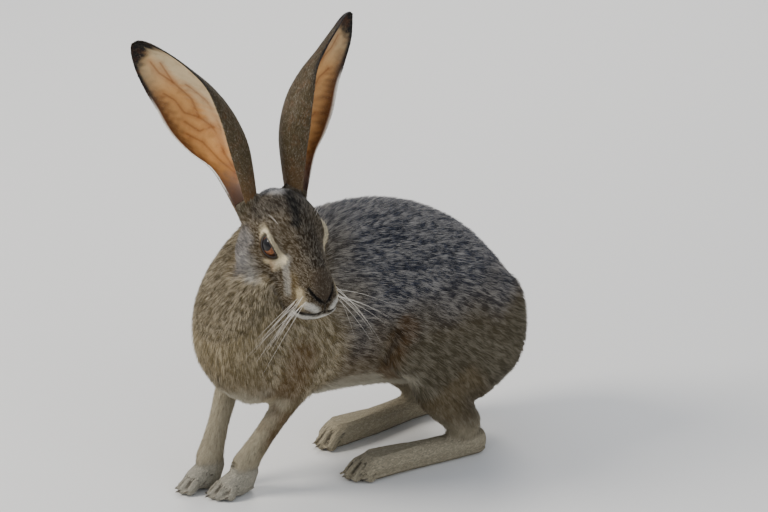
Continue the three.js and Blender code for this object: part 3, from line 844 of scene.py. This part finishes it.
ear_finish = Finish("thin skin of the ears", Roughness=0.55, Specular_IOR_Level=0.2)
ear_ground = ear_finish.attribute("ground", "Color")
down = ear_finish.grain(1500.0)
mottle = ear_finish.grain(160.0)
ear_colour = ear_finish.mix(ear_ground, shade(EAR_MOTTLE), mottle.step(0.45, 0.75) * 0.25)
ear_finish.feed("Base Color", ear_finish.mix(ear_colour, shade(EAR_DOWN), down.step(0.52, 0.75) * 0.14))
ear_finish.rough(down, 0.15 * MM)
ear_meshes = {}
for side, ear in EAR_ROOTS.items():
    form = bmesh.new()
    fields = [form.verts.layers.float.new(name) for name in ("across", "along", "inside")]
    sheets = []
    for is_inside, layer in enumerate((EAR_SKIN_OUT, EAR_SKIN_IN)):
        sheet = bmesh.ops.create_grid(form, x_segments=EAR_ACROSS, y_segments=EAR_ALONG, size=1)["verts"]
        across, start = np.array([v.co[:2] for v in sheet]).T
        along = np.sin((start + 1) * math.pi / 4) * (1 + EAR_BURIED) - EAR_BURIED
        spots = from_head(on_ear(ear, across, along, np.full(len(across), layer)))
        for vert, place, *values in zip(sheet, spots, across, along):
            vert.co = place
            for field, value in zip(fields, values + [is_inside]):
                vert[field] = value
        sheets.append(sheet)
    partner = dict(zip(*sheets))
    for edge in [e for e in form.edges if e.is_boundary and e.verts[0] in partner]:
        a, b = edge.verts
        form.faces.new((a, b, partner[b], partner[a]))
    bmesh.ops.recalc_face_normals(form, faces=form.faces)
    mesh = new_mesh(f"ear_cup_{side}", form)
    smooth_shaded(mesh)
    across, along, inside = (values_of(mesh, name) for name in ("across", "along", "inside"))
    places = vectors_of(mesh)
    ripple = noise(places, 5 * MM, 9)
    ear_marks = Markings(len(mesh.vertices), EAR_BACK, 0.45)
    lay = ear_marks.lay
    lay((1 - inside) * (1 - ramp(along + 0.03 * ripple, 0.04, 0.2)), EAR_BASE, 0.3)
    lay((1 - inside) * ramp(along + 0.015 * ripple, 0.5, 0.95) * 0.6, BROWN, 0.3)
    # The inside is painted lit through the ear, with painted shade towards its outer edge.
    lay(inside, EAR_INSIDE_LIT, 0)
    lay(inside * ramp(across + 0.05 * ripple, 0.5, 0.95), EAR_CUP_SHADE, 0)
    lay(inside * ramp(-across + 0.06 * ripple, -0.35, 0.15) * 0.9, EAR_MIDDLE_SIDE, 0)
    lay(inside * (1 - ramp(along + 0.04 * ripple, 0.06, 0.26)) * 0.8, EAR_DEPTHS, 0)
    lay(inside * ramp(along, 0.66, 0.86) * 0.6, EAR_UPPER, 0)
    for vein in VEINS:
        a = np.array(vein)
        line = from_head(on_ear(ear, a[:, 0], a[:, 1], np.full(len(a), EAR_SKIN_IN)))
        off = off_line(places, line) / MM
        lay(inside * 0.55 * (1 - ramp(off, 0.2, 1.1)), VEIN, 0)
        lay(inside * 0.3 * (1 - ramp(off, 0.8, 4.5)), VEIN_GLOW, 0)
    lay(ramp(along + 0.012 * ripple + 0.05 * np.abs(across), 0.885, 0.955), BLACK, 0)
    lay(ramp(-across, 0.86, 0.97) * ramp(along, 0.4, 0.7), BLACK, 0)
    lay(ramp(across, 0.82, 0.95) * ramp(along, 0.6, 0.76), BLACK, 0)
    lay(ramp(across, 0.93, 0.985) * ramp(along, 0.06, 0.14) * (1 - ramp(along, 0.64, 0.74)), EAR_RIM, 0)
    set_values(mesh, "ground", ear_marks.values())
    mesh.materials.append(ear_finish.material)
    cup = new_object(f"ear_cup_{side}", mesh)
    ear_meshes[side] = (mesh, across, along, inside, ear_marks)
    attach(cup, "root")
    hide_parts(f"ear_{side}")


# The claws: short dark horn, one at the tip of each toe, half hidden by the fur of the foot. Each
# foot's place is how far it is to its own side and along the body, in the millimetres of the part's
# source, from which the frame is shifted as a whole.
HIND_FEET = {"left": (35, -3), "right": (31, 12)}
FORE_PAWS = {"left": (4.5, -87), "right": (18, -100)}
HIND_CLAWS = [(-11.4, 3), (-4.6, -1), (2.3, 1), (9, 9)]
FORE_CLAWS = [(-7, -13), (-1.6, -16), (4, -13), (9.4, -7)]
CLAW_LENGTH = 3.6 * MM
CLAW_RADIUS = 1.05 * MM
CLAW_POINT = 0.22 * MM
CLAW_CURVE = 1.1 * MM
CLAW_PITCH = 112
CLAW_AHEAD = 1.2
CLAW_HEIGHT = 3.4
CLEAR_OF_FLOOR = 0.1 * MM
HORN_DARK = "33281f"
HORN_LIGHT = "7a6852"
frame_shift = HEAD_ORIGIN / MM - np.array(HEAD_PLACE)
horn = Finish("dark horn of the claws", Roughness=0.35)
worn = horn.grain(500.0).step(0.4, 0.8)
horn.feed("Base Color", horn.mix(shade(HORN_DARK), shade(HORN_LIGHT), worn))
for side, sign in (("left", 1), ("right", -1)):
    foot_x, foot_y = HIND_FEET[side]
    paw_x, paw_y = FORE_PAWS[side]
    tips = [(foot_x + dx, foot_y + dy) for dx, dy in HIND_CLAWS]
    tips += [(paw_x + dx, paw_y + dy) for dx, dy in FORE_CLAWS]
    form = bmesh.new()
    for tip_x, tip_y in tips:
        claw = bmesh.new()
        bmesh.ops.create_cone(
            claw, cap_ends=True, segments=10, radius1=CLAW_RADIUS, radius2=CLAW_POINT, depth=CLAW_LENGTH
        )
        sides = [e for e in claw.edges if abs(e.verts[0].co.z - e.verts[1].co.z) > MM]
        bmesh.ops.subdivide_edges(claw, edges=sides, cuts=4, use_grid_fill=True)
        for vert in claw.verts:
            run = vert.co.z / CLAW_LENGTH + 0.5
            vert.co.y += CLAW_CURVE * run * run
        pitch = Matrix.Rotation(math.radians(CLAW_PITCH), 3, "X")
        bmesh.ops.rotate(claw, verts=claw.verts, matrix=pitch)
        place = Vector((sign * tip_x, tip_y + CLAW_AHEAD, CLAW_HEIGHT)) + Vector(frame_shift)
        bmesh.ops.translate(claw, verts=claw.verts, vec=place * MM)
        form.from_mesh(new_mesh("claw", claw))
    for vert in form.verts:
        vert.co.z = max(vert.co.z, CLEAR_OF_FLOOR)
    claws = new_object(f"claws_{side}", new_mesh(f"claws_{side}", form))
    smooth_shaded(claws.data)
    claws.data.materials.append(horn.material)
    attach(claws, "root")


# The coat: short hair in thin tapered tufts that lie back along the body, from the nose to the
# tail and down the legs. Neighbouring tufts draw together into locks, and where the hair is
# grizzled, some tufts carry a pale band and others a black tip.
FLOW = {
    "torso": (0, 1, -0.25), "thigh": (0, 0.8, -0.6), "upper_arm": (0, 0.35, -1), "forearm": (0, -0.3, -1),
    "fore_paw": (0, -0.8, -0.6), "shank": (0, 0.5, -0.9), "hind_foot": (0, -1, -0.15), "tail": (0, 0.2, -1),
    "neck": (0, 0.5, -1), "head": (0, 1, -0.1),
}
LENGTH = {
    "head": 5.5, "neck": 9, "torso": 8.5, "thigh": 8.5, "upper_arm": 8, "forearm": 5.2, "fore_paw": 3.4,
    "shank": 6.5, "hind_foot": 4.2, "tail": 11, "ear": 6,
}
BAKE_PATCH = 0.003
HAIR_PALE = "f2e8d4"
ROOT_DEPTH = 0.3 * MM
TUFT_STEPS = 2
NOSE_HAIR = 2.0
CROWN_LONGER = 4.5
LID_HAIR = 1.2
COMBING_ROUNDS = 30
UNWRAP_ANGLE = 66


class Pelt:
    """A surface that hair grows from: which way and how far the hair runs, and its colours."""

    def __init__(self, mesh, flow, long, cover, ground):
        mesh.calc_loop_triangles()
        count = len(mesh.loop_triangles) * 3
        self.faces = np.empty(count, dtype=np.int32)
        mesh.loop_triangles.foreach_get("vertices", self.faces)
        self.faces = self.faces.reshape(-1, 3)
        loops = np.empty(count, dtype=np.int32)
        mesh.loop_triangles.foreach_get("loops", loops)
        uv = np.empty(len(mesh.loops) * 2)
        mesh.uv_layers.active.data.foreach_get("uv", uv)
        self.uv = uv.reshape(-1, 2)[loops].reshape(-1, 3, 2)
        self.points = vectors_of(mesh)
        self.normals = vectors_of(mesh, "normal")
        self.flow = flow
        self.long = long
        self.cover = cover
        self.ground = ground
        a, b, c = (self.points[self.faces[:, i]] for i in range(3))
        self.area = np.linalg.norm(np.cross(b - a, c - a), axis=1) / 2
        self.tree = BVHTree.FromPolygons(self.points.tolist(), self.faces.tolist())
        self.face_flow = flow[self.faces].mean(axis=1)


def grow(pelt, name, share, count, width, lock, bond, seed):
    """Tufts on the parts of a pelt that have a share, as one mesh of tapered strips. A lock is a
    number of neighbouring tufts, and bond is how much of their tone they share."""
    draw = np.random.default_rng(seed)
    weight = np.cumsum(pelt.area * share[pelt.faces].mean(axis=1))
    place = np.searchsorted(weight, (np.arange(count) + draw.random(count)) / count * weight[-1])
    place = np.minimum(place, len(weight) - 1)
    a, b = draw.random((2, count))
    flip = a + b > 1
    a[flip] = 1 - a[flip]
    b[flip] = 1 - b[flip]
    shares = np.stack([1 - a - b, a, b], axis=1)[:, :, None]
    corner = pelt.faces[place]
    root = (pelt.points[corner] * shares).sum(1)
    out = unit((pelt.normals[corner] * shares).sum(1))
    lie = unit((pelt.flow[corner] * shares).sum(1))
    long = (pelt.long[corner] * shares[:, :, 0]).sum(1)
    lift = (pelt.cover[corner] * shares[:, :, 0]).sum(1)
    ground = (pelt.ground[corner] * shares).sum(1)
    unwrapped = (pelt.uv[place] * shares).sum(1)

    leaders = draw.choice(count, max(count // lock, 1), replace=False)
    near = KDTree(len(leaders))
    for i, leader in enumerate(leaders):
        near.insert(root[leader], i)
    near.balance()
    mine = np.array([near.find(p)[1] for p in root])
    lock_tone, lock_lift, lock_long, lock_turn = draw.random((4, len(leaders)))
    tone = bond * ramp(lock_tone[mine], 0.15, 0.85) + (1 - bond) * draw.random(count)
    lift = lift * (0.55 + 0.45 * lock_lift[mine] + 0.25 * draw.random(count))
    long = long * (0.8 + 0.25 * lock_long[mine] + 0.25 * draw.random(count))
    turn = 0.5 * (lock_turn[mine] - 0.5) + draw.normal(0, 0.12, count)
    lie = unit(lie + np.cross(out, lie) * turn[:, None])
    pull = root[leaders][mine] + lie * (long * 0.5)[:, None] - root
    pull = pull - lie * (pull * lie).sum(1, keepdims=True) - out * (pull * out).sum(1, keepdims=True)

    rows = []
    spot = root
    for step in range(TUFT_STEPS + 1):
        reached = step / TUFT_STEPS
        gathered = spot + pull * (0.5 * reached ** 1.4)
        raised = gathered + out * (lift * 0.95 * reached ** 0.8 - ROOT_DEPTH)[:, None]
        sideways = unit(np.cross(out, lie)) * (width * MM * 0.5 * (1 - reached ** 1.7))
        rows.append((raised, sideways, out))
        if step < TUFT_STEPS:
            ahead = spot + lie * (long / TUFT_STEPS)[:, None]
            found = [pelt.tree.find_nearest(Vector(p)) for p in ahead]
            spot = np.array([f[0] for f in found])
            out = unit(0.5 * out + 0.5 * np.array([f[1] for f in found]))
            lie = unit(lie + 0.6 * pelt.face_flow[np.array([f[2] for f in found])])
            lie = unit(lie - out * (lie * out).sum(1, keepdims=True))

    points_each = 2 * TUFT_STEPS + 1
    verts = np.empty((count, points_each, 3))
    bend = np.empty((count, points_each, 3))
    patch = np.empty((count, points_each, 2))
    along = np.empty((count, points_each))
    for step, (raised, sideways, normal) in enumerate(rows):
        reached = step / TUFT_STEPS
        row = ((2 * step, -1), (2 * step + 1, 1)) if step < TUFT_STEPS else ((2 * step, 0),)
        for i, way in row:
            verts[:, i] = raised + sideways * way
            bend[:, i] = unit(normal + unit(sideways) * (0.35 * way))
            patch[:, i] = unwrapped + (0.5 * BAKE_PATCH * way, BAKE_PATCH * (reached - 0.5))
            along[:, i] = reached
    verts[..., 2] = np.maximum(verts[..., 2], CLEAR_OF_FLOOR)
    base = (np.arange(count) * points_each)[:, None]
    strips = [base + 2 * step + np.array([0, 2, 3, 1]) for step in range(TUFT_STEPS - 1)]
    tip = base + points_each + np.array([-3, -1, -2])
    loops = np.concatenate(strips + [tip], axis=1).ravel()
    sizes = np.tile([4] * (TUFT_STEPS - 1) + [3], count)
    mesh = bpy.data.meshes.new(name)
    mesh.vertices.add(count * points_each)
    mesh.vertices.foreach_set("co", verts.ravel())
    mesh.loops.add(loops.size)
    mesh.loops.foreach_set("vertex_index", loops.astype(np.int32))
    mesh.polygons.add(len(sizes))
    starts = np.concatenate([[0], np.cumsum(sizes)[:-1]])
    mesh.polygons.foreach_set("loop_start", starts.astype(np.int32))
    mesh.update(calc_edges=True)
    smooth_shaded(mesh)
    mesh.normals_split_custom_set_from_vertices(bend.reshape(-1, 3))
    bake = mesh.uv_layers.new(name="OFBake")
    bake.data.foreach_set("uv", patch.reshape(-1, 2)[loops].ravel())
    set_values(mesh, "ground", np.repeat(ground, points_each, axis=0))
    set_values(mesh, "along", along.ravel())
    set_values(mesh, "tone", np.repeat(tone, points_each))
    mesh.materials.append(coat.material)
    piece = new_object(name, mesh)
    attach(piece, "root")
    return piece


coat = Finish("banded hair of the coat", Roughness=0.65, Specular_IOR_Level=0.15)
ground = coat.attribute("ground", "Color")
grizzle = coat.attribute("ground", "Alpha")
up_hair = coat.attribute("along")
tone = coat.attribute("tone")
pale = coat.mix(ground, shade(HAIR_PALE), 0.3)
plain = coat.mix(ground, shade(BLACK), (1 - tone.step(0.0, 0.6)) * (0.22 + 0.4 * grizzle))
plain = coat.mix(plain, pale, tone.step(0.5, 1.0) * (0.3 + 0.3 * grizzle))
shaded = coat.mix(plain, shade(BLACK), (1 - up_hair.step(0.0, 0.5)) * 0.32)
band = (up_hair + 0.3 * tone).step(0.5, 0.62) * tone.step(0.42, 0.7) * grizzle
banded = coat.mix(shaded, pale, band)
black_tip = (up_hair + 0.35 * tone).step(0.74, 0.92) * (1 - tone.step(0.42, 0.8)) * grizzle
coat.feed("Base Color", coat.mix(banded, shade(BLACK), black_tip * 0.85))

flow = np.array([FLOW.get(k, (0, 0, 1)) for k in kind], float)
flow[is_head] = flow[is_head] @ HEAD_AXES.T
front = ramp(-y, 30, 110)[:, None]
trunk = np.isin(kind, ("torso", "neck"))
flow[trunk] = (flow * (1 - front) + np.array([0, 0.1, -1]) * front)[trunk]
for side, ear in EAR_ROOTS.items():
    near_root = np.linalg.norm(head_spots - np.array(ear["root"]), axis=1)
    share = 0.9 * (1 - ramp(near_root, 10, 20))[:, None]
    flow = flow * (1 - share) + (HEAD_AXES @ unit(np.array(ear["axis"]))) * share
for _ in range(COMBING_ROUNDS):
    flow = surface.average(flow)
    flow = unit(flow - normals * (flow * normals).sum(1, keepdims=True))
long = np.array([LENGTH[k] for k in kind]) * MM
on_head = NOSE_HAIR + CROWN_LONGER * ramp(head_spots[:, 1], -48, 24)
long = np.where(is_head, on_head * MM, long)
for eye in eyes.values():
    short = (LID_HAIR + 2 * LID_HAIR * ramp(eye.ring(head_spots), 1.1, 2.2)) * MM
    long = np.where(eye.surrounds(head_spots), np.minimum(long, short), long)
long = surface.smooth(long, 12)
cover = surface.smooth(depth * np.where(is_foot, 0.5, 1.0), 3)

bpy.context.view_layer.objects.active = skin
bpy.ops.object.mode_set(mode="EDIT")
bpy.ops.mesh.select_all(action="SELECT")
bpy.ops.uv.smart_project(angle_limit=math.radians(UNWRAP_ANGLE), island_margin=0.001)
bpy.ops.object.mode_set(mode="OBJECT")
pelt = Pelt(hide, flow, long, cover, marks.values())

bare = np.zeros(len(points))
for eye in eyes.values():
    bare = np.maximum(bare, (1 - ramp(eye.ring(head_spots), 1.06, 1.14)) * eye.surrounds(head_spots))
for line in both_sides(MOUTH) + both_sides(NOSTRIL):
    bare = np.maximum(bare, is_head * (1 - ramp(off_line(head_spots, line), 0.8, 1.6)))
bare = np.maximum(bare, is_foot * ramp(-normals[:, 2], 0.6, 0.8))
furred = 1 - bare
muzzle = is_head * (1 - ramp(head_spots[:, 1], -8, 4))
crown = of_kind("head", "ear") * (1 - muzzle)
upper = of_kind("torso") * ramp(z + 4 * lumps, 118, 128)
lower = of_kind("torso") * (1 - ramp(z + 4 * lumps, 118, 128))

# Each piece of the coat has its name, its slot, where it grows, and then its number of tufts, their
# width in millimetres, how many draw together in a lock, and how much of their tone a lock shares.
FIRST_COAT_SEED = 20
FIRST_EAR_SEED = 40
COAT = [
    ("coat_muzzle", "saddle", muzzle * (1 + ramp(-head_spots[:, 1], 20, 40)), 62000, 0.33, 6, 0.45),
    ("coat_crown", "saddle", crown, 50000, 0.4, 6, 0.5),
    ("coat_neck", "flank", of_kind("neck"), 46000, 0.46, 7, 0.55),
    ("coat_back", "saddle", upper, 64000, 0.46, 5, 0.55),
    ("coat_belly", "flank", lower, 50000, 0.5, 6, 0.55),
    ("coat_haunches", "flank", of_kind("thigh"), 60000, 0.48, 6, 0.55),
    ("coat_shoulders", "flank", of_kind("upper_arm"), 22000, 0.46, 7, 0.5),
    ("coat_forelegs", "limb", of_kind("forearm", "fore_paw"), 40000, 0.36, 8, 0.35),
    ("coat_hindlegs", "limb", of_kind("shank", "hind_foot", "tail"), 44000, 0.42, 8, 0.35),
]
for number, (name, slot, share, *sizes) in enumerate(COAT):
    piece = grow(pelt, name, share * furred, *sizes, FIRST_COAT_SEED + number)

# The fur of the ears is the same hair, much shorter: close on the back, a pale fringe along the
# middle edge, and a thin white rim along the outer one.
EAR_COAT = (30000, 0.28, 5, 0.35)
EAR_HAIR = 2.8
EAR_LIFT = 0.7
for number, (side, (mesh, across, along, inside, ear_marks)) in enumerate(ear_meshes.items()):
    ear = EAR_ROOTS[side]
    uv = np.stack([(across + 1) * 0.2 + 0.5 * inside + 0.03, along * 0.8 + 0.1], axis=1)
    mesh.uv_layers.new(name="unwrap")
    loops = np.empty(len(mesh.loops), dtype=np.int32)
    mesh.loops.foreach_get("vertex_index", loops)
    mesh.uv_layers["unwrap"].data.foreach_set("uv", uv[loops].ravel())
    up_ear = HEAD_AXES @ unit(np.array(ear["axis"]))
    ear_normals = vectors_of(mesh, "normal")
    centre = from_head(on_ear(ear, 0 * across, np.clip(along, 0, 1), np.full(len(across), EAR_SKIN_IN)))
    inwards = unit(centre - vectors_of(mesh))
    fringe = inside * ramp(-across, -0.4, 0.3)
    run = np.tile(up_ear, (len(across), 1)) + inwards * (1.1 * fringe)[:, None]
    run = unit(run - ear_normals * (run * ear_normals).sum(1, keepdims=True))
    long = (EAR_HAIR + 0.6 * fringe) * MM
    cover = (EAR_LIFT - 0.3 * inside) * MM
    ear_pelt = Pelt(mesh, run, long, cover, ear_marks.values())
    share = (1 - inside) + 0.8 * fringe + 0.8 * inside * ramp(along, 0.75, 0.92)
    share = share + 1.5 * ramp(np.abs(across), 0.95, 0.99)
    share = share * ramp(along, 0.0, 0.03) * (1 - ramp(along, 0.985, 1))
    piece = grow(ear_pelt, f"coat_ear_{side}", share, *EAR_COAT, FIRST_EAR_SEED + number)


# The whiskers: long pale bristles in the pads of the upper lip, swept down and out, and two short
# ones over each eye. Their lengths are in millimetres.
WHISKER_ROOTS = [
    (12.5, -44, -13), (13.5, -41, -16), (14.5, -39, -20), (13, -46, -18), (14.8, -42, -22), (12, -48, -16),
]
WHISKER_STEPS = 9
WHISKER_LENGTH = (44, 72)
BROW_LENGTH = (9, 13)
BRISTLE_RADIUS = 0.15 * MM
BRISTLE_LIGHT = "efe9dd"
BRISTLE_DARK = "c9bfae"
WHISKER_SEED = 77
bristle = Finish("pale bristle", Roughness=0.3)
aged = bristle.grain(120.0)
bristle.feed("Base Color", bristle.mix(shade(BRISTLE_LIGHT), shade(BRISTLE_DARK), aged))
draw = np.random.default_rng(WHISKER_SEED)
outline = bpy.data.curves.new("whiskers", "CURVE")
outline.dimensions = "3D"
outline.bevel_depth = BRISTLE_RADIUS
outline.bevel_resolution = 0


def strand(start, way, sag, length):
    """One bristle from a point of the head, in the head's millimetres."""
    spline = outline.splines.new("POLY")
    spline.points.add(WHISKER_STEPS - 1)
    spot = np.array(start, float)
    way = unit(np.array(way, float))
    for i, point in enumerate(spline.points):
        point.co = (*from_head(spot), 1)
        point.radius = 1.15 - i / (WHISKER_STEPS - 1)
        spot = spot + way * length / WHISKER_STEPS
        way = unit(way + np.array(sag) / WHISKER_STEPS)


for start in WHISKER_ROOTS:
    for sign in (1, -1):
        for _ in range(2):
            root = np.array(start) * (sign, 1, 1) + draw.normal(0, 0.6, 3)
            way = (sign * draw.uniform(0.4, 1.0), draw.uniform(-0.55, 0.0), draw.uniform(-0.95, -0.15))
            strand(root, way, (0, 0.1, -0.5), draw.uniform(*WHISKER_LENGTH))
for sign in (1, -1):
    for apart in (-1.5, 1.5):
        root = (sign * 14, 1 + apart, 16)
        strand(root, (sign * 0.55, 0.4, 0.6), (0, 0.5, -0.2), draw.uniform(*BROW_LENGTH))
whiskers = new_object("whiskers", finished_mesh(new_object("whiskers", outline)))
smooth_shaded(whiskers.data)
whiskers.data.materials.append(bristle.material)
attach(whiskers, "root")


# The floor and the lights of a studio: a plain pale floor, a broad soft key light from the upper
# left, a weaker one from the right, one from behind, and an even pale air.
FLOOR_HALF = 6
FLOOR_PALE = "e4e2dd"
AIR_COLOUR = (0.82, 0.88, 1.0, 1)
AIR_STRENGTH = 0.7
LIT_POINT = (0, 0, 0.12)
LIGHTS = [
    ("key", (-0.7, -1.6, 1.5), 0.9, 42, (1.0, 0.96, 0.9)),
    ("fill", (1.7, 0.2, 0.9), 1.4, 6, (0.92, 0.96, 1.0)),
    ("rim", (-1.2, 1.1, 1.4), 0.9, 18, (1.0, 0.97, 0.93)),
]
form = bmesh.new()
bmesh.ops.create_grid(form, x_segments=2, y_segments=2, size=FLOOR_HALF)
floor = new_object("floor", new_mesh("floor", form))
floor_finish = Finish("pale floor", Roughness=0.9, Base_Color=shade(FLOOR_PALE))
floor.data.materials.append(floor_finish.material)

for name, place, size, power, colour in LIGHTS:
    light = bpy.data.lights.new(name, "AREA")
    light.shape = "DISK"
    light.size = size
    light.energy = power
    light.color = colour
    lamp = new_object(name, light)
    lamp.location = place
    lamp.rotation_euler = (Vector(LIT_POINT) - Vector(place)).to_track_quat("-Z", "Y").to_euler()

world = bpy.data.worlds.new("studio air")
world.use_nodes = True
air = world.node_tree.nodes["Background"]
air.inputs["Color"].default_value = AIR_COLOUR
air.inputs["Strength"].default_value = AIR_STRENGTH
bpy.context.scene.world = world
